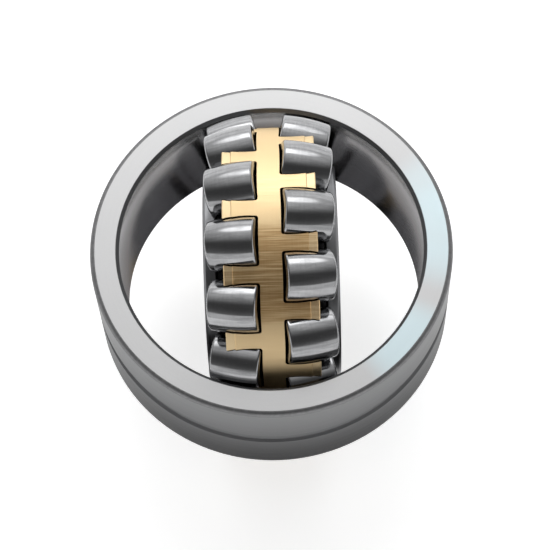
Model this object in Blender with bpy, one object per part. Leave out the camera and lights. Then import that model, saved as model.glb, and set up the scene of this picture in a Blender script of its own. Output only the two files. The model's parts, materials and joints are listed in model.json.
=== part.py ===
"""Double-row spherical roller bearing with its inner assembly swivelled open.

The outer ring lies flat with its axis along +Z.  The inner ring, guide ring, cage
and both rows of barrel rollers share one axis, which is swivelled a quarter turn
and lies along +X.  The origin is the centre of the spherical raceway, where the
two axes cross.  All lengths are metres.
"""
import math

import bmesh
import bpy
from mathutils import Matrix

# Boundary dimensions of the bearing.
OUTER_DIAMETER = 0.090
BORE_DIAMETER = 0.040
WIDTH = 0.033

# Rollers.
ROLLERS_PER_ROW = 14
ROLLER_DIAMETER = 0.0132
ROLLER_LENGTH = 0.0122
ROLLER_PROFILE_RADIUS = 0.0395
ROLLER_CHAMFER = 0.0004
CONTACT_ANGLE = math.radians(14.45)
FIRST_ROLLER_ANGLE = math.radians(0.47)
ROW_STAGGER = math.radians(11.66)

# Clearances that stand between neighbouring solids.
RACEWAY_CLEARANCE = 0.00025
POCKET_CLEARANCE = 0.0003
POCKET_END_CLEARANCE = 0.00038
RING_CLEARANCE = 0.00025

# Outer ring.
RACEWAY_RADIUS = 0.0409
OUTER_CHAMFER_RADIAL = 0.0013
OUTER_CHAMFER_AXIAL = 0.0015
RIM_CHAMFER = 0.0008
GROOVE_WIDTH = 0.0043
GROOVE_DEPTH = 0.0008
GROOVE_FLANK = 0.0005
OIL_HOLE_DIAMETER = 0.0025
OIL_HOLES = 3
FIRST_OIL_HOLE_ANGLE = math.radians(-73.0)
HOLE_OVERRUN = 0.002

# Inner ring.
FLANGE_RADIUS = 0.0270
BORE_CHAMFER = 0.0010
FLANGE_CHAMFER = 0.0006
MID_LAND_RADIUS = 0.0284

# Guide ring, which floats on the mid land between the two rows.
GUIDE_OUTER_RADIUS = 0.0334

# Cage.
CAGE_OUTER_RADIUS = 0.0368
CAGE_TIP_STEP = 0.0002
CAGE_TIP_STRIP = 0.0021
PRONG_REACH = 0.01135
PRONG_ROOT_RADIUS = 0.0325
PRONG_TIP_INNER_RADIUS = 0.0308
CAGE_EDGE_CHAMFER = 0.00025

# Facets.
OUTER_RING_STEPS = 72
INNER_RING_STEPS = 56
CAGE_STEPS = 112
ROLLER_STEPS = 16
HOLE_STEPS = 12
RACEWAY_SPANS = 8
INNER_RACEWAY_SPANS = 4
ROLLER_SPANS = 2
SMOOTH_ANGLE = math.radians(30.0)
MERGE_DISTANCE = 1e-6

# Dimensions that follow from the ones above.
ROLLER_RADIUS = ROLLER_DIAMETER / 2
PITCH_DISTANCE = RACEWAY_RADIUS - RACEWAY_CLEARANCE - ROLLER_RADIUS
ROLLER_OFFSET = PITCH_DISTANCE * math.sin(CONTACT_ANGLE)
PITCH_RADIUS = PITCH_DISTANCE * math.cos(CONTACT_ANGLE)
ROLLER_PITCH_ANGLE = math.tau / ROLLERS_PER_ROW

STEEL = {"color": (0.55, 0.56, 0.57, 1.0), "metallic": 1.0, "roughness": 0.35}
POLISHED_STEEL = {"color": (0.66, 0.67, 0.68, 1.0), "metallic": 1.0, "roughness": 0.12}
DARK_STEEL = {"color": (0.32, 0.33, 0.34, 1.0), "metallic": 1.0, "roughness": 0.40}
BRASS = {"color": (0.80, 0.62, 0.36, 1.0), "metallic": 1.0, "roughness": 0.30}


def clear_scene():
    """Remove whatever the scene holds before modelling."""
    for scene_object in list(bpy.data.objects):
        bpy.data.objects.remove(scene_object, do_unlink=True)


def make_material(name, finish):
    """Return a Principled material with the given colour, metal value and roughness."""
    material = bpy.data.materials.new(name)
    material.use_nodes = True
    shader = material.node_tree.nodes["Principled BSDF"]
    shader.inputs["Base Color"].default_value = finish["color"]
    shader.inputs["Metallic"].default_value = finish["metallic"]
    shader.inputs["Roughness"].default_value = finish["roughness"]
    material.diffuse_color = finish["color"]
    return material


def arc(centre, radius, start_angle, end_angle, spans):
    """Return points (z, r) on an arc; angles are measured from +r towards +z."""
    points = []
    for index in range(spans + 1):
        angle = start_angle + (end_angle - start_angle) * index / spans
        z = centre[0] + radius * math.sin(angle)
        r = centre[1] + radius * math.cos(angle)
        points.append((z, r))
    return points


def turned_mesh(name, profile, steps, closed):
    """Spin a profile of (z, r) points about Z; a closed profile makes a ring."""
    mesh_builder = bmesh.new()
    vertices = [mesh_builder.verts.new((r, 0.0, z)) for z, r in profile]
    last = len(vertices) if closed else len(vertices) - 1
    edges = [
        mesh_builder.edges.new((vertices[index], vertices[(index + 1) % len(vertices)]))
        for index in range(last)
    ]
    bmesh.ops.spin(
        mesh_builder,
        geom=vertices + edges,
        cent=(0.0, 0.0, 0.0),
        axis=(0.0, 0.0, 1.0),
        angle=math.tau,
        steps=steps,
        use_merge=True,
        use_duplicate=False,
    )
    bmesh.ops.remove_doubles(mesh_builder, verts=mesh_builder.verts[:], dist=MERGE_DISTANCE)
    bmesh.ops.recalc_face_normals(mesh_builder, faces=mesh_builder.faces[:])
    mesh = bpy.data.meshes.new(name)
    mesh_builder.to_mesh(mesh)
    mesh_builder.free()
    mesh.shade_smooth()
    mesh.set_sharp_from_angle(angle=SMOOTH_ANGLE)
    return mesh


def add_object(name, mesh, material=None, parent=None):
    """Link a mesh object into the scene under an optional parent."""
    new_object = bpy.data.objects.new(name, mesh)
    bpy.context.scene.collection.objects.link(new_object)
    if material is not None:
        mesh.materials.clear()
        mesh.materials.append(material)
    if parent is not None:
        new_object.parent = parent
    return new_object


def make_cutter(cutter):
    """Keep a cutting shape out of the model."""
    cutter.hide_render = True
    cutter.display_type = "WIRE"
    return cutter


def subtract(target, cutter):
    """Cut one object's shape out of another."""
    modifier = target.modifiers.new("cut", "BOOLEAN")
    modifier.operation = "DIFFERENCE"
    modifier.solver = "EXACT"
    modifier.object = cutter


def bearing_axis_frame():
    """Return an empty whose local Z lies along world X and local X along world Z."""
    empty = bpy.data.objects.new("bearing_axis", None)
    bpy.context.scene.collection.objects.link(empty)
    empty.matrix_world = Matrix(((0, 0, 1), (0, -1, 0), (1, 0, 0))).to_4x4()
    return empty


def outer_ring_profile():
    """Section of the outer ring, from the top rim down the raceway and up the outside."""
    half = WIDTH / 2
    outside = OUTER_DIAMETER / 2
    rim_z = half - RIM_CHAMFER
    rim_angle = math.asin(rim_z / RACEWAY_RADIUS)
    rim_radius = RACEWAY_RADIUS * math.cos(rim_angle)
    raceway = arc((0.0, 0.0), RACEWAY_RADIUS, rim_angle, -rim_angle, RACEWAY_SPANS)
    face_inner = rim_radius + RIM_CHAMFER
    face_outer = outside - OUTER_CHAMFER_RADIAL
    shoulder_z = half - OUTER_CHAMFER_AXIAL
    groove_half = GROOVE_WIDTH / 2
    floor_half = groove_half - GROOVE_FLANK
    groove_floor = outside - GROOVE_DEPTH
    lower_outside = [
        (-half, face_inner),
        (-half, face_outer),
        (-shoulder_z, outside),
        (-groove_half, outside),
        (-floor_half, groove_floor),
    ]
    upper_outside = [(-z, r) for z, r in reversed(lower_outside)]
    return raceway + lower_outside + upper_outside


def build_outer_ring(material):
    """Outer ring with a spherical raceway, an oil groove and radial oil holes."""
    mesh = turned_mesh("outer_ring", outer_ring_profile(), OUTER_RING_STEPS, closed=True)
    ring = add_object("outer_ring", mesh, material)
    for index in range(OIL_HOLES):
        angle = FIRST_OIL_HOLE_ANGLE + math.tau * index / OIL_HOLES
        subtract(ring, oil_hole_cutter(index, angle))
    return ring


def oil_hole_cutter(index, angle):
    """Radial cutter through the ring wall at one oil hole."""
    inner_end = RACEWAY_RADIUS - HOLE_OVERRUN
    outer_end = OUTER_DIAMETER / 2 + HOLE_OVERRUN
    radius = OIL_HOLE_DIAMETER / 2
    profile = [(inner_end, 0.0), (inner_end, radius), (outer_end, radius), (outer_end, 0.0)]
    mesh = turned_mesh("oil_hole", profile, HOLE_STEPS, closed=False)
    cutter = make_cutter(add_object("oil_hole_cutter_%d" % (index + 1), mesh))
    cutter.rotation_euler = (0.0, math.pi / 2, angle)
    return cutter


def roller_end_line(r, side_gap):
    """Distance from the mid-plane of the plane that lies side_gap inside a roller's inner end."""
    centre_z = ROLLER_OFFSET - ROLLER_LENGTH / 2 * math.cos(CONTACT_ANGLE)
    centre_r = PITCH_RADIUS + ROLLER_LENGTH / 2 * math.sin(CONTACT_ANGLE)
    return centre_z + (r - centre_r) * math.tan(CONTACT_ANGLE) - side_gap / math.cos(CONTACT_ANGLE)


def roller_outer_end_line(r, side_gap):
    """Distance from the mid-plane of the plane that lies side_gap outside a roller's outer end."""
    centre_z = ROLLER_OFFSET + ROLLER_LENGTH / 2 * math.cos(CONTACT_ANGLE)
    centre_r = PITCH_RADIUS - ROLLER_LENGTH / 2 * math.sin(CONTACT_ANGLE)
    return centre_z + (r - centre_r) * math.tan(CONTACT_ANGLE) + side_gap / math.cos(CONTACT_ANGLE)


def inner_raceway():
    """Concave raceway under the right-hand row, from the mid land to the flange."""
    groove_radius = RACEWAY_RADIUS
    closest = PITCH_DISTANCE - ROLLER_RADIUS - RACEWAY_CLEARANCE
    distance = closest + groove_radius
    centre = (distance * math.sin(CONTACT_ANGLE), distance * math.cos(CONTACT_ANGLE))
    land_drop = centre[1] - MID_LAND_RADIUS
    start = math.pi + math.acos(land_drop / groove_radius)
    half_span = math.asin((ROLLER_LENGTH / 2 + RING_CLEARANCE) / groove_radius)
    end = math.pi + CONTACT_ANGLE - half_span
    return arc(centre, groove_radius, start, end, INNER_RACEWAY_SPANS)


def inner_ring_profile():
    """Section of the inner ring: bore, side faces, flanges, two raceways and mid land."""
    half = WIDTH / 2
    bore = BORE_DIAMETER / 2
    flange_wall = roller_outer_end_line(FLANGE_RADIUS, RING_CLEARANCE)
    right_half = inner_raceway() + [
        (flange_wall, FLANGE_RADIUS),
        (half - FLANGE_CHAMFER, FLANGE_RADIUS),
        (half, FLANGE_RADIUS - FLANGE_CHAMFER),
        (half, bore + BORE_CHAMFER),
        (half - BORE_CHAMFER, bore),
    ]
    left_half = [(-z, r) for z, r in reversed(right_half)]
    return right_half + left_half


def build_inner_ring(material, axis_frame):
    """Inner ring with the shaft bore."""
    mesh = turned_mesh("inner_ring", inner_ring_profile(), INNER_RING_STEPS, closed=True)
    return add_object("inner_ring", mesh, material, axis_frame)


def build_guide_ring(material, axis_frame):
    """Loose ring between the rows, with sides parallel to the roller ends."""
    inner_radius = MID_LAND_RADIUS + RING_CLEARANCE
    inner_half = roller_end_line(inner_radius, RING_CLEARANCE)
    outer_half = roller_end_line(GUIDE_OUTER_RADIUS, RING_CLEARANCE)
    profile = [
        (inner_half, inner_radius),
        (outer_half, GUIDE_OUTER_RADIUS),
        (-outer_half, GUIDE_OUTER_RADIUS),
        (-inner_half, inner_radius),
    ]
    mesh = turned_mesh("guide_ring", profile, INNER_RING_STEPS, closed=True)
    return add_object("guide_ring", mesh, material, axis_frame)


def cage_profile():
    """Section of the turned blank: web bore, prong undersides, tips and outside."""
    web_bore = GUIDE_OUTER_RADIUS + RING_CLEARANCE
    web_half = roller_end_line(web_bore, POCKET_END_CLEARANCE)
    tip_outer = CAGE_OUTER_RADIUS - CAGE_TIP_STEP
    strip = PRONG_REACH - CAGE_TIP_STRIP
    right_half = [
        (web_half, web_bore),
        (web_half + (web_bore - PRONG_ROOT_RADIUS), PRONG_ROOT_RADIUS),
        (PRONG_REACH, PRONG_TIP_INNER_RADIUS),
        (PRONG_REACH, tip_outer - CAGE_EDGE_CHAMFER),
        (PRONG_REACH - CAGE_EDGE_CHAMFER, tip_outer),
        (strip, tip_outer),
        (strip - CAGE_TIP_STEP, CAGE_OUTER_RADIUS),
    ]
    left_half = [(-z, r) for z, r in reversed(right_half)]
    return right_half + left_half


def barrel_profile(radius, half_length, chamfer, spans):
    """Half section of a barrel on its own axis, with flat chamfered ends."""
    profile_radius = ROLLER_PROFILE_RADIUS + radius - ROLLER_RADIUS
    edge_angle = math.asin((half_length - chamfer) / profile_radius)
    crown = arc((0.0, radius - profile_radius), profile_radius, -edge_angle, edge_angle, spans)
    edge_radius = crown[0][1] - chamfer
    lower = [(-half_length, 0.0), (-half_length, edge_radius)]
    upper = [(half_length, edge_radius), (half_length, 0.0)]
    return lower + crown + upper


def row_angles(side):
    """Angles of one row's rollers; the left row is staggered by nearly half a pitch."""
    first = FIRST_ROLLER_ANGLE if side > 0 else FIRST_ROLLER_ANGLE + ROW_STAGGER
    return [first + ROLLER_PITCH_ANGLE * index for index in range(ROLLERS_PER_ROW)]


def place_on_pitch(barrel, side, angle):
    """Set a barrel on its row's pitch circle, tilted by the contact angle."""
    barrel.location = (
        PITCH_RADIUS * math.cos(angle),
        PITCH_RADIUS * math.sin(angle),
        side * ROLLER_OFFSET,
    )
    barrel.rotation_euler = (0.0, -side * CONTACT_ANGLE, angle)


def build_cage(material, axis_frame):
    """One-piece cage: a central web with prongs on both sides, cut by barrel pockets."""
    mesh = turned_mesh("cage", cage_profile(), CAGE_STEPS, closed=True)
    cage = add_object("cage", mesh, material, axis_frame)
    radius = ROLLER_RADIUS + POCKET_CLEARANCE
    half_length = ROLLER_LENGTH / 2 + POCKET_END_CLEARANCE
    profile = barrel_profile(radius, half_length, ROLLER_CHAMFER, ROLLER_SPANS)
    pocket = turned_mesh("pocket", profile, ROLLER_STEPS, closed=False)
    for side in (1, -1):
        for index, angle in enumerate(row_angles(side)):
            cutter = add_object("pocket_cutter_%d_%02d" % (side, index + 1), pocket, parent=axis_frame)
            place_on_pitch(cutter, side, angle)
            subtract(cage, make_cutter(cutter))
    return cage


def build_rollers(material, axis_frame):
    """Both rows of symmetrical barrel rollers."""
    profile = barrel_profile(ROLLER_RADIUS, ROLLER_LENGTH / 2, ROLLER_CHAMFER, ROLLER_SPANS)
    barrel = turned_mesh("roller", profile, ROLLER_STEPS, closed=False)
    for side, label in ((1, "right"), (-1, "left")):
        for index, angle in enumerate(row_angles(side)):
            roller = add_object("roller_%s_%02d" % (label, index + 1), barrel, material, axis_frame)
            place_on_pitch(roller, side, angle)


def build_bearing():
    """Model the whole bearing."""
    clear_scene()
    axis_frame = bearing_axis_frame()
    build_outer_ring(make_material("ground_steel", STEEL))
    build_inner_ring(make_material("ring_steel", DARK_STEEL), axis_frame)
    build_guide_ring(make_material("guide_steel", DARK_STEEL), axis_frame)
    build_cage(make_material("machined_brass", BRASS), axis_frame)
    build_rollers(make_material("roller_steel", POLISHED_STEEL), axis_frame)


build_bearing()
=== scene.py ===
"""Studio scene of a double-row spherical roller bearing, swivelled open.

Every CAD solid is replaced by a finer piece on the same body: lathe-turned rings
with rounded edges, crowned rollers and a brass cage with milled pockets.  The
pieces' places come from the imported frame.  All lengths are metres.
"""
import json
import math

import bmesh
import bpy
from mathutils import Matrix, Vector


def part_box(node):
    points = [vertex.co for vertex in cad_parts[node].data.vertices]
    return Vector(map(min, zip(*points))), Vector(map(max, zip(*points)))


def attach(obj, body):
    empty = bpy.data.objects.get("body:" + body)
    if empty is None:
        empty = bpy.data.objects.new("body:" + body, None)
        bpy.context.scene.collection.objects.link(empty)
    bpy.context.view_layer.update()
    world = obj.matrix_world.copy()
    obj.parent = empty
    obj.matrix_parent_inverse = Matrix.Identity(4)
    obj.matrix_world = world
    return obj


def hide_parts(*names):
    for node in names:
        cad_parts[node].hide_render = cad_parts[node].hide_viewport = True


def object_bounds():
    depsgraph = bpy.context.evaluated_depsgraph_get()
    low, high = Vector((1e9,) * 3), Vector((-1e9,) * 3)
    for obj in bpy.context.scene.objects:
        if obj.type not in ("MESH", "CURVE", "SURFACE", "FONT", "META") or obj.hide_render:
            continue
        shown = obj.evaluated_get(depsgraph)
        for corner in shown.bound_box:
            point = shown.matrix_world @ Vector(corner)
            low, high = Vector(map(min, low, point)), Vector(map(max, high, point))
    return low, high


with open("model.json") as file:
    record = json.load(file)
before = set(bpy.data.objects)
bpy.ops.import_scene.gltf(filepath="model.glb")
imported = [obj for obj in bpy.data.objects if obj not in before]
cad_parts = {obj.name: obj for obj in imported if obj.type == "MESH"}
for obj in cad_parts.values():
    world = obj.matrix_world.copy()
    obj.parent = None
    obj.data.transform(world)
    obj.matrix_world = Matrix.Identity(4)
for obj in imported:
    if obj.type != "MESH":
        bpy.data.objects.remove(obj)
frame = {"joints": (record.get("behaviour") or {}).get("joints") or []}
CAD_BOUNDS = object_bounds()

# Sizes read from the frame.
OUTER_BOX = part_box("outer_ring")
INNER_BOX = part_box("inner_ring")
CAGE_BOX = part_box("cage")
OUTER_RADIUS = OUTER_BOX[1].x
HALF_WIDTH = OUTER_BOX[1].z
INNER_HALF_WIDTH = INNER_BOX[1].x
PRONG_REACH = CAGE_BOX[1].x

# Outer ring.
RACEWAY_RADIUS = 0.0409
OUTER_CORNER_RADIUS = 0.0012
RIM_CHAMFER = 0.0008
RIM_EDGE_RADIUS = 0.00018
GROOVE_WIDTH = 0.0043
GROOVE_DEPTH = 0.0008
GROOVE_FLANK = 0.0005
GROOVE_EDGE_RADIUS = 0.00012
GROOVE_ROOT_RADIUS = 0.0003
OIL_HOLE_RADIUS = 0.00125
OIL_HOLES = 3
FIRST_OIL_HOLE_ANGLE = math.radians(92.5)
DRILL_OVERRUN = 0.002

# Inner ring and guide ring.
BORE_RADIUS = 0.0200
BORE_CHAMFER = 0.0010
FLANGE_RADIUS = 0.0270
FLANGE_CHAMFER = 0.0006
FLANGE_INNER_EDGE_RADIUS = 0.0002
FLANGE_OUTER_EDGE_RADIUS = 0.0004
MID_LAND_RADIUS = 0.0284
GUIDE_OUTER_RADIUS = 0.0334
GUIDE_BORE_EDGE_RADIUS = 0.0002
GUIDE_OUTER_EDGE_RADIUS = 0.0003
RING_CLEARANCE = 0.00025

# Rollers.
ROLLER_RADIUS = 0.0066
ROLLER_HALF_LENGTH = 0.0061
ROLLER_PROFILE_RADIUS = 0.0395
ROLLER_EDGE_RADIUS = 0.0007
ROLLER_DIMPLE_RADIUS = 0.0034
ROLLER_DIMPLE_DEPTH = 0.0003
DIMPLE_BRINK_SHARE = 0.15       # of the dimple's depth
CONTACT_ANGLE = math.radians(14.45)
PITCH_DISTANCE = 0.03405        # from the raceway's centre to a roller's

# Cage.
CAGE_OUTER_RADIUS = 0.0368
CAGE_TIP_STEP = 0.00018
CAGE_TIP_STRIP = 0.0021
PRONG_ROOT_RADIUS = 0.0325
PRONG_TIP_INNER_RADIUS = 0.0308
CAGE_EDGE = 0.0002
POCKET_CLEARANCE = 0.0003
POCKET_END_CLEARANCE = 0.00038

# The stretch of the turning marks' noise over which a roughness changes.
MARKS_LOW = 0.25
MARKS_HIGH = 0.80

# Films of oil on the side face, each with its angle round the ring, the closeness to
# that angle where it starts, and the closeness where it is full.
OIL_FILMS = (
    (math.radians(8.0), 0.88, 0.985),
    (math.radians(-40.0), 0.95, 0.995),
)

# Brass streaks, partly real marks and partly painted shade heaped in one band: the angle
# round the cage where they are strongest, the closeness to it where they start and are
# full, and how strong they stay elsewhere.
STREAK_SHADE_ANGLE = math.radians(25.0)
STREAK_START = 0.950
STREAK_FULL = 0.985
STREAK_ELSEWHERE = 0.08

# Mesh fineness.
RING_STEPS = 240
CAGE_STEPS = 336
ROLLER_STEPS = 72
ROLLER_SPANS = 18
POCKET_STEPS = 64
RACEWAY_SPANS = 36
INNER_RACEWAY_SPANS = 16
FILLET_SPANS = 4
FILLET_SPAN_LENGTH = 0.00025
HOLE_STEPS = 32
SHARP_ANGLE = math.radians(32.0)
FLAT_FACE_WEIGHT = 80

# Tests on a mesh: how near the axis a point lies on it, how closely a side face looks
# along the axis, and how far out the raceway's faces can lie.
AXIS_REACH = 1e-9
SIDE_FACE_NORMAL = 0.999
RACEWAY_REACH = RACEWAY_RADIUS * 1.01

# Local Z of the inner assembly lies along world X, and its local X along world Z.
BEARING_AXIS = Matrix(((0, 0, 1), (0, -1, 0), (1, 0, 0))).to_4x4()

# Camera, relative to the raceway centre.  The lens and the sensor are in millimetres.
CAMERA_DISTANCE = 0.5469
CAMERA_ELEVATION = math.radians(65.55)
CAMERA_TURN = math.radians(1.37)
CAMERA_YAW = math.radians(0.061)
CAMERA_PITCH = math.radians(-0.064)
CAMERA_ROLL = math.radians(-3.115)
CAMERA_LENS = 140.64
CAMERA_SENSOR = 36.0
CAMERA_CLIP_START = 0.01

# Studio surroundings: a dim base level, then soft patches of light, each with the
# direction it lies in, the closeness to that where it starts and is full, and its level.
SKY_BASE = 0.09
SKY_PATCHES = (
    ((0.0, 0.67, 0.743), 0.42, 1.25, 1.26),
    ((-0.26, 0.69, 0.675), 0.960, 0.990, 1.45),
    ((0.0, 0.715, 0.70), 0.960, 0.990, 1.75),
    ((0.26, 0.69, 0.675), 0.960, 0.990, 1.45),
    ((0.0, 0.0, -1.0), -0.72, -0.36, 0.10),
    ((0.0, 0.0, -1.0), -0.40, -0.31, 0.70),
)

# Floor, and the lamp that whitens it.
FLOOR_GAP = 0.0004
FLOOR_SIZE = 14.0
FLOOR_GLOW = 0.57
LAMP_HEIGHT = 3.0
LAMP_SIZE = 7.0
LAMP_POWER = 30.0


# ---------------------------------------------------------------- mesh helpers

def arc(centre, radius, start_angle, end_angle, spans):
    """Points (z, r) on an arc; angles are measured from +r towards +z."""
    points = []
    for index in range(spans + 1):
        angle = start_angle + (end_angle - start_angle) * index / spans
        z = centre[0] + radius * math.sin(angle)
        r = centre[1] + radius * math.cos(angle)
        points.append((z, r))
    return points


def fillet(previous, corner, following, radius):
    """Round one corner of a profile with an arc tangent to both its sides."""
    corner_point = Vector(corner)
    back = (Vector(previous) - corner_point).normalized()
    ahead = (Vector(following) - corner_point).normalized()
    half_angle = back.angle(ahead) / 2
    reach = radius / math.tan(half_angle)
    centre = corner_point + (back + ahead).normalized() * radius / math.sin(half_angle)
    start = corner_point + back * reach - centre
    finish = corner_point + ahead * reach - centre
    turn = math.pi - 2 * half_angle
    if start.x * finish.y < start.y * finish.x:
        turn = -turn
    spans = FILLET_SPANS + round(radius / FILLET_SPAN_LENGTH)
    points = []
    for index in range(spans + 1):
        angle = turn * index / spans
        spun = Vector((
            start.x * math.cos(angle) - start.y * math.sin(angle),
            start.x * math.sin(angle) + start.y * math.cos(angle),
        ))
        points.append(tuple(centre + spun))
    return points


def round_corners(corners):
    """Turn (z, r, fillet radius) corners of a closed profile into points."""
    points = []
    for index, (z, r, radius) in enumerate(corners):
        if radius > 0:
            previous = corners[index - 1][:2]
            following = corners[(index + 1) % len(corners)][:2]
            points.extend(fillet(previous, (z, r), following, radius))
        else:
            points.append((z, r))
    return points


def lathe(name, profile, steps, closed):
    """Turn a profile of (z, r) points about local Z into a mesh.

    A closed profile joins its last point to its first.  An open one ends on the axis.
    """
    builder = bmesh.new()
    rings = []
    for z, r in profile:
        if r < AXIS_REACH:
            rings.append([builder.verts.new((0.0, 0.0, z))])
            continue
        ring = []
        for index in range(steps):
            angle = math.tau * index / steps
            ring.append(builder.verts.new((r * math.cos(angle), r * math.sin(angle), z)))
        rings.append(ring)
    pairs = list(zip(rings, rings[1:]))
    if closed:
        pairs.append((rings[-1], rings[0]))
    for low, high in pairs:
        for index in range(steps):
            after = (index + 1) % steps
            corners = [
                low[index % len(low)],
                low[after % len(low)],
                high[after % len(high)],
                high[index % len(high)],
            ]
            builder.faces.new(list(dict.fromkeys(corners)))
    bmesh.ops.recalc_face_normals(builder, faces=builder.faces[:])
    mesh = bpy.data.meshes.new(name)
    builder.to_mesh(mesh)
    builder.free()
    smooth(mesh)
    return mesh


def smooth(mesh):
    """Shade round stretches smooth and keep true edges sharp."""
    mesh.shade_smooth()
    mesh.set_sharp_from_angle(angle=SHARP_ANGLE)


def add_piece(name, mesh, matrix):
    """Link an object with this mesh at a place in the frame."""
    piece = bpy.data.objects.new(name, mesh)
    bpy.context.scene.collection.objects.link(piece)
    piece.matrix_world = matrix
    return piece


def set_materials(mesh, *materials):
    """Give a mesh these materials, in this order."""
    mesh.materials.clear()
    for material in materials:
        mesh.materials.append(material)


def weight_normals(piece):
    """Keep flats flat beside their rounded edges."""
    modifier = piece.modifiers.new("flat_normals", "WEIGHTED_NORMAL")
    modifier.keep_sharp = True
    modifier.weight = FLAT_FACE_WEIGHT


def stand_for(piece, node):
    """Ride on a CAD node's body and replace that node."""
    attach(piece, node)
    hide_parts(node)


def joined_mesh(name, mesh, matrices):
    """One mesh that holds a copy of another at each place."""
    builder = bmesh.new()
    for matrix in matrices:
        start = len(builder.verts)
        builder.from_mesh(mesh)
        builder.verts.ensure_lookup_table()
        bmesh.ops.transform(builder, matrix=matrix, verts=builder.verts[start:])
    joined = bpy.data.meshes.new(name)
    builder.to_mesh(joined)
    builder.free()
    return joined


def cut(piece, cutter_mesh):
    """Cut a mesh out of a piece and keep the result as the piece's own mesh."""
    cutter = bpy.data.objects.new("cutter", cutter_mesh)
    bpy.context.scene.collection.objects.link(cutter)
    modifier = piece.modifiers.new("cut", "BOOLEAN")
    modifier.operation = "DIFFERENCE"
    modifier.solver = "EXACT"
    modifier.object = cutter
    apply_modifiers(piece)
    bpy.data.objects.remove(cutter, do_unlink=True)


def apply_modifiers(piece):
    """Bake a piece's modifiers into its mesh."""
    bpy.context.view_layer.update()
    graph = bpy.context.evaluated_depsgraph_get()
    baked = bpy.data.meshes.new_from_object(piece.evaluated_get(graph), depsgraph=graph)
    piece.modifiers.clear()
    piece.data = baked


# ---------------------------------------------------------------- materials

class Shader:
    """A material's node tree, with short calls for the nodes used here."""

    def __init__(self, name, color, roughness, metallic=1.0, anisotropy=0.0):
        self.material = bpy.data.materials.new(name)
        self.material.use_nodes = True
        self.tree = self.material.node_tree
        self.principled = self.tree.nodes["Principled BSDF"]
        self.principled.inputs["Base Color"].default_value = color
        self.principled.inputs["Roughness"].default_value = roughness
        self.principled.inputs["Metallic"].default_value = metallic
        self.principled.inputs["Anisotropic"].default_value = anisotropy
        self.material.diffuse_color = color

    def node(self, kind, **settings):
        """Add a node and set its properties."""
        new_node = self.tree.nodes.new(kind)
        for key, value in settings.items():
            setattr(new_node, key, value)
        return new_node

    def feed(self, value, socket):
        """Link an output to an input, or set the input's own value."""
        if isinstance(value, bpy.types.NodeSocket):
            self.tree.links.new(value, socket)
        else:
            socket.default_value = value

    def math(self, operation, first, second=0.0, third=0.0):
        """One arithmetic node."""
        step = self.node("ShaderNodeMath", operation=operation)
        for value, socket in zip((first, second, third), step.inputs):
            self.feed(value, socket)
        return step.outputs[0]

    def ramp(self, value, low, high, to_low=0.0, to_high=1.0):
        """Map a range smoothly onto another, clamped at both ends."""
        step = self.node("ShaderNodeMapRange", interpolation_type="SMOOTHSTEP")
        for source, socket in zip((value, low, high, to_low, to_high), step.inputs):
            self.feed(source, socket)
        return step.outputs[0]

    def mix(self, factor, first, second):
        """Mix two colours."""
        step = self.node("ShaderNodeMix", data_type="RGBA")
        # The node's colour inputs are numbers 6 and 7, and its colour output is number 2.
        self.feed(factor, step.inputs["Factor"])
        self.feed(first, step.inputs[6])
        self.feed(second, step.inputs[7])
        return step.outputs[2]

    def position(self):
        """The place on the piece, in its own coordinates, as x, y and z outputs."""
        coordinates = self.node("ShaderNodeTexCoord")
        parts = self.node("ShaderNodeSeparateXYZ")
        self.tree.links.new(coordinates.outputs["Object"], parts.inputs[0])
        return parts.outputs

    def polar(self):
        """Radius and height about local Z, and the cosine and sine of the angle round it."""
        x, y, z = self.position()
        square = self.math("MULTIPLY_ADD", x, x, self.math("MULTIPLY", y, y))
        radius = self.math("SQRT", square)
        return radius, z, self.math("DIVIDE", x, radius), self.math("DIVIDE", y, radius)

    def facing(self, angle):
        """Closeness to one direction round local Z: 1 there, 0 a quarter turn away."""
        cosine, sine = self.polar()[2:]
        along_x = self.scaled(cosine, math.cos(angle))
        return self.math("MULTIPLY_ADD", sine, math.sin(angle), along_x)

    def noise(self, x, y, z, scale=1.0, detail=2.0, roughness=0.5):
        """Noise at a point made of three values; stretching comes from their scales."""
        point = self.node("ShaderNodeCombineXYZ")
        for value, socket in zip((x, y, z), point.inputs):
            self.feed(value, socket)
        texture = self.node("ShaderNodeTexNoise")
        self.tree.links.new(point.outputs[0], texture.inputs["Vector"])
        texture.inputs["Scale"].default_value = scale
        texture.inputs["Detail"].default_value = detail
        texture.inputs["Roughness"].default_value = roughness
        return texture.outputs["Fac"]

    def scaled(self, value, factor):
        """A value times a constant."""
        return self.math("MULTIPLY", value, factor)

    def bump(self, height, distance):
        """Roughen the shader's normal by a height, of which 1 stands for the distance."""
        step = self.node("ShaderNodeBump")
        step.inputs["Distance"].default_value = distance
        self.tree.links.new(height, step.inputs["Height"])
        self.tree.links.new(step.outputs["Normal"], self.principled.inputs["Normal"])

    def color(self, value):
        """Set the base colour."""
        self.feed(value, self.principled.inputs["Base Color"])

    def roughness(self, value):
        """Set the roughness."""
        self.feed(value, self.principled.inputs["Roughness"])

    def turned_tangent(self):
        """Run the direction of brushing round local Z."""
        tangent = self.node("ShaderNodeTangent", direction_type="RADIAL", axis="Z")
        self.tree.links.new(tangent.outputs[0], self.principled.inputs["Tangent"])


def circular_marks(shader, fine, angular, seed):
    """Noise in fine circles about local Z, slowly changing round the circle."""
    radius, height, cosine, sine = shader.polar()
    along = shader.math("ADD", shader.scaled(radius, fine), shader.scaled(height, fine * 0.87))
    return shader.noise(
        shader.math("ADD", along, seed),
        shader.scaled(cosine, angular),
        shader.scaled(sine, angular),
        detail=3.0,
        roughness=0.6,
    )


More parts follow.
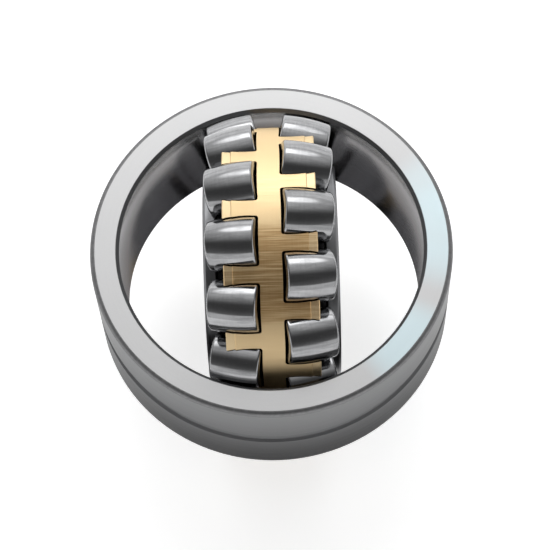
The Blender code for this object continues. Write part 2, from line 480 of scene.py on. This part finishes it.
def side_face_steel():
    """Ground side face: light satin grey with faint grinding circles and a film of oil."""
    shader = Shader("ground_face", (0.50, 0.50, 0.505, 1), 0.34, anisotropy=0.15)
    marks = circular_marks(shader, 5200.0, 2.2, 3.0)
    x, y, z = shader.position()
    cloud = shader.noise(x, y, z, scale=26.0, detail=3.0)
    grain = shader.noise(x, y, z, scale=2600.0, detail=1.0)
    tone = shader.math("MULTIPLY_ADD", cloud, 0.4, shader.scaled(marks, 0.4))
    tone = shader.math("MULTIPLY_ADD", grain, 0.2, tone)
    steel = shader.mix(tone, (0.45, 0.45, 0.455, 1), (0.575, 0.575, 0.575, 1))
    film = 0.0
    for film_angle, start, full in OIL_FILMS:
        film = shader.math("ADD", film, shader.ramp(shader.facing(film_angle), start, full))
    film = shader.math("MULTIPLY", film, shader.ramp(cloud, 0.25, 0.60))
    shader.color(shader.mix(film, steel, (0.55, 0.65, 0.68, 1)))
    shader.roughness(shader.ramp(marks, MARKS_LOW, MARKS_HIGH, 0.29, 0.40))
    shader.turned_tangent()
    shader.bump(marks, 0.000004)
    return shader.material


def outside_steel():
    """Ground outside diameter, with painted shade that darkens it low down, between the rough
    turned corners of the ring.
    """
    shader = Shader("ground_outside", (0.12, 0.12, 0.125, 1), 0.36, anisotropy=0.4)
    shader.principled.inputs["Specular Tint"].default_value = (0.65, 0.65, 0.65, 1)
    marks = circular_marks(shader, 4200.0, 1.6, 11.0)
    height, cosine, sine = shader.polar()[1:]
    # Painted shade: the outside is painted darker low down and lighter towards the top.
    painted_shade_fade = shader.ramp(height, -HALF_WIDTH, HALF_WIDTH)
    low_tone = shader.mix(painted_shade_fade, (0.026, 0.026, 0.027, 1), (0.215, 0.218, 0.222, 1))
    high_tone = shader.mix(painted_shade_fade, (0.050, 0.050, 0.052, 1), (0.285, 0.288, 0.292, 1))
    ground = shader.mix(marks, low_tone, high_tone)
    ragged = shader.noise(
        shader.scaled(cosine, 42.0), shader.scaled(sine, 42.0), shader.scaled(height, 900.0),
        detail=4.0, roughness=0.7,
    )
    reach = shader.math("MULTIPLY_ADD", ragged, 0.0016, shader.math("ABSOLUTE", height))
    turned = shader.ramp(reach, HALF_WIDTH - 0.0009, HALF_WIDTH - 0.0002)
    speckled = shader.mix(ragged, (0.16, 0.16, 0.163, 1), (0.32, 0.32, 0.325, 1))
    shader.color(shader.mix(turned, ground, speckled))
    satin = shader.ramp(marks, MARKS_LOW, MARKS_HIGH, 0.31, 0.43)
    shader.roughness(shader.math("MULTIPLY_ADD", turned, 0.22, satin))
    shader.turned_tangent()
    relief = shader.math("MULTIPLY_ADD", turned, shader.scaled(ragged, 2.0), marks)
    shader.bump(relief, 0.000005)
    return shader.material


def groove_steel():
    """Turned groove, oil holes and rim chamfers: dark, rather rough steel."""
    shader = Shader("turned_groove", (0.12, 0.12, 0.125, 1), 0.42)
    marks = circular_marks(shader, 3600.0, 3.0, 5.0)
    shader.color(shader.mix(marks, (0.16, 0.161, 0.166, 1), (0.26, 0.262, 0.268, 1)))
    shader.roughness(shader.ramp(marks, MARKS_LOW, MARKS_HIGH, 0.55, 0.70))
    shader.bump(marks, 0.000008)
    return shader.material


def raceway_steel():
    """Honed spherical raceway: glossy, with painted shade far inside and painted light near the
    upper rim.
    """
    shader = Shader("honed_raceway", (0.20, 0.20, 0.21, 1), 0.16)
    marks = circular_marks(shader, 900.0, 2.0, 21.0)
    x, y, z = shader.position()
    cloud = shader.noise(x, y, z, scale=60.0, detail=4.0)
    tone = shader.math("MULTIPLY_ADD", cloud, 0.7, shader.scaled(marks, 0.3))
    # Painted shade far inside and painted light near the upper rim: a shaded and a lit copy of
    # the steel.
    shaded_inside = shader.mix(tone, (0.09, 0.088, 0.093, 1), (0.17, 0.167, 0.175, 1))
    lit_near_rim = shader.mix(tone, (0.21, 0.214, 0.222, 1), (0.33, 0.335, 0.345, 1))
    shader.color(shader.mix(shader.ramp(z, 0.004, 0.0125), shaded_inside, lit_near_rim))
    shader.roughness(shader.ramp(tone, 0.2, 0.8, 0.12, 0.24))
    shader.bump(marks, 0.000001)
    return shader.material


def inner_ring_steel():
    """Inner ring: dark satin flanges and bore, and the raceway between the flanges painted near
    black as shade.
    """
    shader = Shader("inner_ring_steel", (0.22, 0.223, 0.23, 1), 0.36)
    marks = circular_marks(shader, 3600.0, 2.4, 31.0)
    radius, height = shader.polar()[:2]
    flange_start = end_line(FLANGE_RADIUS, 1, RING_CLEARANCE)
    between = shader.ramp(shader.math("ABSOLUTE", height), flange_start, flange_start - 0.0003)
    outside = shader.ramp(radius, BORE_RADIUS + 0.001, BORE_RADIUS + 0.0015)
    # Painted shade: the raceway between the flanges, among the rollers, is painted near black.
    painted_shade_raceway = shader.math("MULTIPLY", between, outside)
    satin = shader.mix(marks, (0.17, 0.172, 0.18, 1), (0.28, 0.283, 0.29, 1))
    shader.color(shader.mix(painted_shade_raceway, satin, (0.035, 0.034, 0.035, 1)))
    shader.roughness(shader.ramp(marks, MARKS_LOW, MARKS_HIGH, 0.28, 0.44))
    shader.bump(marks, 0.000005)
    return shader.material


def guide_ring_steel():
    """Guide ring: dark turned steel."""
    shader = Shader("guide_ring_steel", (0.09, 0.09, 0.094, 1), 0.40)
    marks = circular_marks(shader, 3000.0, 2.0, 41.0)
    shader.color(shader.mix(marks, (0.06, 0.061, 0.064, 1), (0.13, 0.132, 0.137, 1)))
    shader.roughness(shader.ramp(marks, MARKS_LOW, MARKS_HIGH, 0.33, 0.48))
    shader.bump(marks, 0.000006)
    return shader.material


def roller_steel():
    """Superfinished roller: near mirror, with faint lines round it and oily smears along it."""
    shader = Shader("lapped_roller", (0.45, 0.453, 0.46, 1), 0.11)
    marks = circular_marks(shader, 3200.0, 1.2, 51.0)
    x, y, z = shader.position()
    seed = shader.scaled(shader.node("ShaderNodeObjectInfo").outputs["Random"], 40.0)
    along = shader.math("MULTIPLY_ADD", z, 110.0, seed)
    smear = shader.noise(
        shader.scaled(x, 620.0), shader.scaled(y, 620.0), along,
        detail=3.0, roughness=0.6,
    )
    tone = shader.math("MULTIPLY_ADD", smear, 0.8, shader.scaled(marks, 0.2))
    tone = shader.ramp(tone, 0.3, 0.7)
    shader.color(shader.mix(tone, (0.27, 0.272, 0.278, 1), (0.40, 0.402, 0.41, 1)))
    shader.roughness(shader.ramp(smear, 0.34, 0.66, 0.22, 0.07))
    shader.bump(smear, 0.000012)
    return shader.material


def cage_brass():
    """Machined brass: warm gold, brown streaks along it heaped in one band as painted shade, and
    prong tips painted lighter as a highlight.
    """
    shader = Shader("machined_brass", (0.79, 0.59, 0.32, 1), 0.34, anisotropy=0.6)
    height, cosine, sine = shader.polar()[1:]
    streaks = shader.noise(
        shader.scaled(height, 60.0), shader.scaled(cosine, 120.0), shader.scaled(sine, 120.0),
        detail=4.0, roughness=0.65,
    )
    turning = shader.noise(
        shader.scaled(height, 5200.0), shader.scaled(cosine, 2.5), shader.scaled(sine, 2.5),
    )
    patch = shader.noise(
        shader.scaled(height, 140.0), shader.scaled(cosine, 26.0), shader.scaled(sine, 26.0),
    )
    # Painted shade: the brown streaks are heaped in one band round the cage, darkening it there.
    closeness = shader.math("MULTIPLY_ADD", patch, 0.03, shader.facing(STREAK_SHADE_ANGLE))
    streak_shade_band = shader.ramp(closeness, STREAK_START, STREAK_FULL, STREAK_ELSEWHERE, 1.0)
    depth = shader.math("MULTIPLY", streak_shade_band, shader.ramp(streaks, 0.70, 0.42))
    base = shader.mix(depth, (0.81, 0.615, 0.355, 1), (0.47, 0.275, 0.11, 1))
    base = shader.mix(shader.scaled(turning, 0.20), base, (0.90, 0.72, 0.43, 1))
    outward = shader.math("ABSOLUTE", height)
    land_start = PRONG_REACH - CAGE_TIP_STRIP
    # Painted highlight: the lands at the prong tips are painted lighter.
    land = shader.ramp(outward, land_start - 0.0002, land_start + 0.0001, 0.0, 0.30)
    shader.color(shader.mix(land, base, (0.92, 0.76, 0.50, 1)))
    shader.roughness(shader.ramp(streaks, 0.3, 0.7, 0.36, 0.50))
    shader.turned_tangent()
    relief = shader.math("MULTIPLY_ADD", streaks, 0.7, shader.scaled(turning, 0.3))
    shader.bump(relief, 0.000012)
    return shader.material


def shaded_pocket_brass():
    """Milled pocket walls: rougher brass painted darker brown as shade, with mill marks across
    the pocket.
    """
    shader = Shader("shaded_milled_pocket", (0.40, 0.28, 0.14, 1), 0.48)
    x, y, z = shader.position()
    marks = shader.noise(
        shader.scaled(x, 900.0), shader.scaled(y, 900.0), shader.scaled(z, 2400.0),
    )
    # Painted shade: the pocket walls are painted darker than the cage's brass.
    shader.color(shader.mix(marks, (0.20, 0.130, 0.06, 1), (0.36, 0.25, 0.13, 1)))
    shader.roughness(shader.ramp(marks, 0.3, 0.7, 0.40, 0.56))
    shader.bump(marks, 0.00001)
    return shader.material


# ---------------------------------------------------------------- outer ring

def outer_ring_corners():
    """Closed profile of the outer ring: raceway, then the outside from below to above."""
    rim_z = HALF_WIDTH - RIM_CHAMFER
    rim_angle = math.asin(rim_z / RACEWAY_RADIUS)
    rim_radius = RACEWAY_RADIUS * math.cos(rim_angle)
    raceway = arc((0.0, 0.0), RACEWAY_RADIUS, rim_angle, -rim_angle, RACEWAY_SPANS)
    corners = [(z, r, 0.0) for z, r in raceway]
    groove_half = GROOVE_WIDTH / 2
    lower = [
        (-HALF_WIDTH, rim_radius + RIM_CHAMFER, RIM_EDGE_RADIUS),
        (-HALF_WIDTH, OUTER_RADIUS, OUTER_CORNER_RADIUS),
        (-groove_half, OUTER_RADIUS, GROOVE_EDGE_RADIUS),
        (-groove_half + GROOVE_FLANK, OUTER_RADIUS - GROOVE_DEPTH, GROOVE_ROOT_RADIUS),
    ]
    upper = [(-z, r, radius) for z, r, radius in reversed(lower)]
    return corners + lower + upper


def paint_outer_ring(mesh):
    """Give each face of the outer ring the finish of the surface it belongs to."""
    set_materials(mesh, side_face_steel(), outside_steel(), groove_steel(), raceway_steel())
    side_face, outside, groove, raceway = range(4)
    for polygon in mesh.polygons:
        normal = polygon.normal
        centre = polygon.center
        height = abs(centre.z)
        radius = math.hypot(centre.x, centre.y)
        inward = centre.x * normal.x + centre.y * normal.y < 0
        if inward and height < HALF_WIDTH - RIM_CHAMFER and radius < RACEWAY_REACH:
            polygon.material_index = raceway
        elif abs(normal.z) > SIDE_FACE_NORMAL:
            polygon.material_index = side_face
        elif not inward and height > GROOVE_WIDTH / 2:
            polygon.material_index = outside
        else:
            polygon.material_index = groove


def build_outer_ring():
    """Outer ring with its raceway, oil groove, oil holes and rounded chamfers."""
    mesh = lathe("outer_ring_fine", round_corners(outer_ring_corners()), RING_STEPS, closed=True)
    ring = add_piece("outer_ring_fine", mesh, Matrix())
    inner_end = RACEWAY_RADIUS - DRILL_OVERRUN
    outer_end = OUTER_RADIUS + DRILL_OVERRUN
    profile = [
        (inner_end, 0.0),
        (inner_end, OIL_HOLE_RADIUS),
        (outer_end, OIL_HOLE_RADIUS),
        (outer_end, 0.0),
    ]
    drill = lathe("drill", profile, HOLE_STEPS, closed=False)
    places = []
    for index in range(OIL_HOLES):
        angle = FIRST_OIL_HOLE_ANGLE + math.tau * index / OIL_HOLES
        places.append(Matrix.Rotation(angle, 4, "Z") @ Matrix.Rotation(math.pi / 2, 4, "Y"))
    cut(ring, joined_mesh("drills", drill, places))
    smooth(ring.data)
    paint_outer_ring(ring.data)
    weight_normals(ring)
    stand_for(ring, "outer_ring")


# ---------------------------------------------------------------- inner assembly

def end_line(r, direction, gap):
    """How far from mid width the plane a gap beyond the rollers' ends is, at a radius.

    The direction is 1 for the ends at the flange, and -1 for the ends at mid width.
    """
    reach = direction * ROLLER_HALF_LENGTH
    centre_z = PITCH_DISTANCE * math.sin(CONTACT_ANGLE) + reach * math.cos(CONTACT_ANGLE)
    centre_r = PITCH_DISTANCE * math.cos(CONTACT_ANGLE) - reach * math.sin(CONTACT_ANGLE)
    slope = (r - centre_r) * math.tan(CONTACT_ANGLE)
    return centre_z + slope + direction * gap / math.cos(CONTACT_ANGLE)


def inner_raceway():
    """Points of the right-hand row's concave raceway, from the mid land to the flange."""
    closest = PITCH_DISTANCE - ROLLER_RADIUS - RING_CLEARANCE
    distance = closest + RACEWAY_RADIUS
    centre = (distance * math.sin(CONTACT_ANGLE), distance * math.cos(CONTACT_ANGLE))
    start = math.pi + math.acos((centre[1] - MID_LAND_RADIUS) / RACEWAY_RADIUS)
    half_span = math.asin((ROLLER_HALF_LENGTH + RING_CLEARANCE) / RACEWAY_RADIUS)
    finish = math.pi + CONTACT_ANGLE - half_span
    return arc(centre, RACEWAY_RADIUS, start, finish, INNER_RACEWAY_SPANS)


def mirrored(corners):
    """A right-hand half profile followed by its mirror image."""
    return corners + [(-z, r, radius) for z, r, radius in reversed(corners)]


def build_inner_ring():
    """Inner ring: bore, flanges, two raceways and the mid land."""
    half = INNER_HALF_WIDTH
    right_half = [(z, r, 0.0) for z, r in inner_raceway()] + [
        (end_line(FLANGE_RADIUS, 1, RING_CLEARANCE), FLANGE_RADIUS, FLANGE_INNER_EDGE_RADIUS),
        (half - FLANGE_CHAMFER, FLANGE_RADIUS, FLANGE_OUTER_EDGE_RADIUS),
        (half, FLANGE_RADIUS - FLANGE_CHAMFER, FLANGE_OUTER_EDGE_RADIUS),
        (half, BORE_RADIUS + BORE_CHAMFER, FLANGE_OUTER_EDGE_RADIUS),
        (half - BORE_CHAMFER, BORE_RADIUS, FLANGE_OUTER_EDGE_RADIUS),
    ]
    profile = round_corners(mirrored(right_half))
    mesh = lathe("inner_ring_fine", profile, RING_STEPS, closed=True)
    set_materials(mesh, inner_ring_steel())
    ring = add_piece("inner_ring_fine", mesh, BEARING_AXIS)
    weight_normals(ring)
    stand_for(ring, "inner_ring")


def build_guide_ring():
    """Loose guide ring between the rows."""
    inner_radius = MID_LAND_RADIUS + RING_CLEARANCE
    inner_half = end_line(inner_radius, -1, RING_CLEARANCE)
    outer_half = end_line(GUIDE_OUTER_RADIUS, -1, RING_CLEARANCE)
    right_half = [
        (inner_half, inner_radius, GUIDE_BORE_EDGE_RADIUS),
        (outer_half, GUIDE_OUTER_RADIUS, GUIDE_OUTER_EDGE_RADIUS),
    ]
    mesh = lathe("guide_ring_fine", round_corners(mirrored(right_half)), RING_STEPS, closed=True)
    set_materials(mesh, guide_ring_steel())
    ring = add_piece("guide_ring_fine", mesh, BEARING_AXIS)
    weight_normals(ring)
    stand_for(ring, "guide_ring")


def barrel_profile(clearance, end_clearance, dimple):
    """Profile of a roller grown by its clearances, with dimpled ends if asked."""
    half_length = ROLLER_HALF_LENGTH + end_clearance
    crown_radius = ROLLER_PROFILE_RADIUS + clearance
    crown_centre = (0.0, ROLLER_RADIUS - ROLLER_PROFILE_RADIUS)
    edge_angle = math.asin((half_length - ROLLER_EDGE_RADIUS) / crown_radius)
    crown = arc(crown_centre, crown_radius, -edge_angle, edge_angle, ROLLER_SPANS)
    edge_centre = (crown[-1][0], crown[-1][1] - ROLLER_EDGE_RADIUS)
    upper = arc(edge_centre, ROLLER_EDGE_RADIUS, 0.0, math.pi / 2, FILLET_SPANS + 2)[1:]
    if dimple:
        brink = half_length - DIMPLE_BRINK_SHARE * ROLLER_DIMPLE_DEPTH
        floor = half_length - ROLLER_DIMPLE_DEPTH
        upper += [
            (half_length, ROLLER_DIMPLE_RADIUS + 2 * ROLLER_DIMPLE_DEPTH),
            (brink, ROLLER_DIMPLE_RADIUS + ROLLER_DIMPLE_DEPTH),
            (floor, ROLLER_DIMPLE_RADIUS),
            (floor, 0.0),
        ]
    else:
        upper.append((half_length, 0.0))
    lower = [(-z, r) for z, r in reversed(upper)]
    return lower + crown + upper


def roller_joints():
    """Each roller's node with its centre and axis, from the frame's joints."""
    rollers = []
    for joint in frame["joints"]:
        if joint["child"].startswith("roller_"):
            rollers.append((joint["child"], Vector(joint["pos_m"]), Vector(joint["axis"])))
    return rollers


def roller_matrix(centre, axis):
    """A frame at the roller's centre with Z along its axis."""
    turn = Vector((0, 0, 1)).rotation_difference(axis)
    return Matrix.Translation(centre) @ turn.to_matrix().to_4x4()


def build_rollers():
    """Both rows of crowned rollers, which share one mesh."""
    mesh = lathe("roller_fine", barrel_profile(0.0, 0.0, dimple=True), ROLLER_STEPS, closed=False)
    set_materials(mesh, roller_steel())
    for node, centre, axis in roller_joints():
        roller = add_piece(node + "_fine", mesh, roller_matrix(centre, axis))
        stand_for(roller, node)


def cage_corners():
    """Closed profile of the cage blank, with small chamfers, before its pockets are cut."""
    web_bore = GUIDE_OUTER_RADIUS + RING_CLEARANCE
    web_half = end_line(web_bore, -1, POCKET_END_CLEARANCE)
    tip_outer = CAGE_OUTER_RADIUS - CAGE_TIP_STEP
    strip = PRONG_REACH - CAGE_TIP_STRIP
    right_half = [
        (web_half, web_bore),
        (web_half + web_bore - PRONG_ROOT_RADIUS, PRONG_ROOT_RADIUS),
        (PRONG_REACH, PRONG_TIP_INNER_RADIUS),
        (PRONG_REACH, tip_outer - CAGE_EDGE),
        (PRONG_REACH - CAGE_EDGE, tip_outer),
        (strip, tip_outer),
        (strip - CAGE_TIP_STEP, CAGE_OUTER_RADIUS),
    ]
    return right_half + [(-z, r) for z, r in reversed(right_half)]


def build_cage():
    """One-piece cage with barrel pockets milled from both sides."""
    # The pocket walls take the brass painted darker as shade.
    brasses = (cage_brass(), shaded_pocket_brass())
    blank = lathe("cage_fine", cage_corners(), CAGE_STEPS, closed=True)
    set_materials(blank, *brasses)
    cage = add_piece("cage_fine", blank, BEARING_AXIS)
    profile = barrel_profile(POCKET_CLEARANCE, POCKET_END_CLEARANCE, dimple=False)
    pocket = lathe("pocket", profile, POCKET_STEPS, closed=False)
    places = [roller_matrix(joint[1], joint[2]) for joint in roller_joints()]
    pockets = joined_mesh("pockets", pocket, places)
    set_materials(pockets, *brasses)
    for polygon in pockets.polygons:
        polygon.material_index = 1
    cut(cage, pockets)
    smooth(cage.data)
    stand_for(cage, "cage")


# ---------------------------------------------------------------- studio

def set_view():
    """Use a plain colour response, so that the pale floor comes out white."""
    bpy.context.scene.view_settings.view_transform = "Standard"


def build_world():
    """Studio surroundings: bright up and behind, dark above the front, pale round the horizon."""
    world = bpy.data.worlds.new("studio")
    world.use_nodes = True
    bpy.context.scene.world = world
    tree = world.node_tree
    direction = tree.nodes.new("ShaderNodeTexCoord").outputs["Generated"]
    level = None
    for facing, start, full, strength in SKY_PATCHES:
        closeness = tree.nodes.new("ShaderNodeVectorMath")
        closeness.operation = "DOT_PRODUCT"
        closeness.inputs[1].default_value = facing
        tree.links.new(direction, closeness.inputs[0])
        patch = tree.nodes.new("ShaderNodeMapRange")
        patch.interpolation_type = "SMOOTHSTEP"
        patch.inputs["From Min"].default_value = start
        patch.inputs["From Max"].default_value = full
        patch.inputs["To Max"].default_value = strength
        tree.links.new(closeness.outputs["Value"], patch.inputs["Value"])
        total = tree.nodes.new("ShaderNodeMath")
        total.inputs[1].default_value = SKY_BASE
        tree.links.new(patch.outputs["Result"], total.inputs[0])
        if level is not None:
            tree.links.new(level, total.inputs[1])
        level = total.outputs[0]
    background = tree.nodes["Background"]
    background.inputs["Color"].default_value = (1, 1, 1, 1)
    tree.links.new(level, background.inputs["Strength"])


def build_lamp():
    """A wide lamp overhead, facing down, that whitens the floor and shows in no reflection."""
    data = bpy.data.lights.new("floor_fill", "AREA")
    data.size = LAMP_SIZE
    data.energy = LAMP_POWER
    lamp = bpy.data.objects.new("floor_fill", data)
    lamp.location = (0.0, 0.0, LAMP_HEIGHT)
    lamp.visible_glossy = False
    bpy.context.scene.collection.objects.link(lamp)


def build_floor():
    """A plain pale floor just under the lowest rollers, which glows a little."""
    height = CAD_BOUNDS[0].z - FLOOR_GAP
    bpy.ops.mesh.primitive_plane_add(size=FLOOR_SIZE, location=(0, 0, height))
    floor = bpy.context.object
    floor.name = "floor"
    shader = Shader("pale_floor", (0.86, 0.86, 0.86, 1), 0.6, metallic=0.0)
    shader.principled.inputs["Specular IOR Level"].default_value = 0.1
    shader.principled.inputs["Emission Color"].default_value = (1, 1, 1, 1)
    shader.principled.inputs["Emission Strength"].default_value = FLOOR_GLOW
    floor.data.materials.append(shader.material)


def build_camera():
    """Camera above the front, looking down on the open bearing."""
    turn = Matrix.Rotation(CAMERA_TURN, 3, "Z")
    place = turn @ Vector((0, -math.cos(CAMERA_ELEVATION), math.sin(CAMERA_ELEVATION)))
    forward = -place
    right = turn @ Vector((1, 0, 0))
    up = right.cross(forward)
    look = (forward + math.tan(CAMERA_YAW) * right + math.tan(CAMERA_PITCH) * up).normalized()
    side = look.cross(up).normalized()
    top = side.cross(look)
    cosine = math.cos(CAMERA_ROLL)
    sine = math.sin(CAMERA_ROLL)
    axes = (cosine * side + sine * top, cosine * top - sine * side, -look)
    data = bpy.data.cameras.new("camera")
    data.lens = CAMERA_LENS
    data.sensor_width = CAMERA_SENSOR
    data.clip_start = CAMERA_CLIP_START
    camera = bpy.data.objects.new("camera", data)
    bpy.context.scene.collection.objects.link(camera)
    rotation = Matrix(axes).transposed().to_4x4()
    camera.matrix_world = Matrix.Translation(place * CAMERA_DISTANCE) @ rotation
    bpy.context.scene.camera = camera


set_view()
build_camera()
build_outer_ring()
build_inner_ring()
build_guide_ring()
build_cage()
build_rollers()
build_world()
build_lamp()
build_floor()
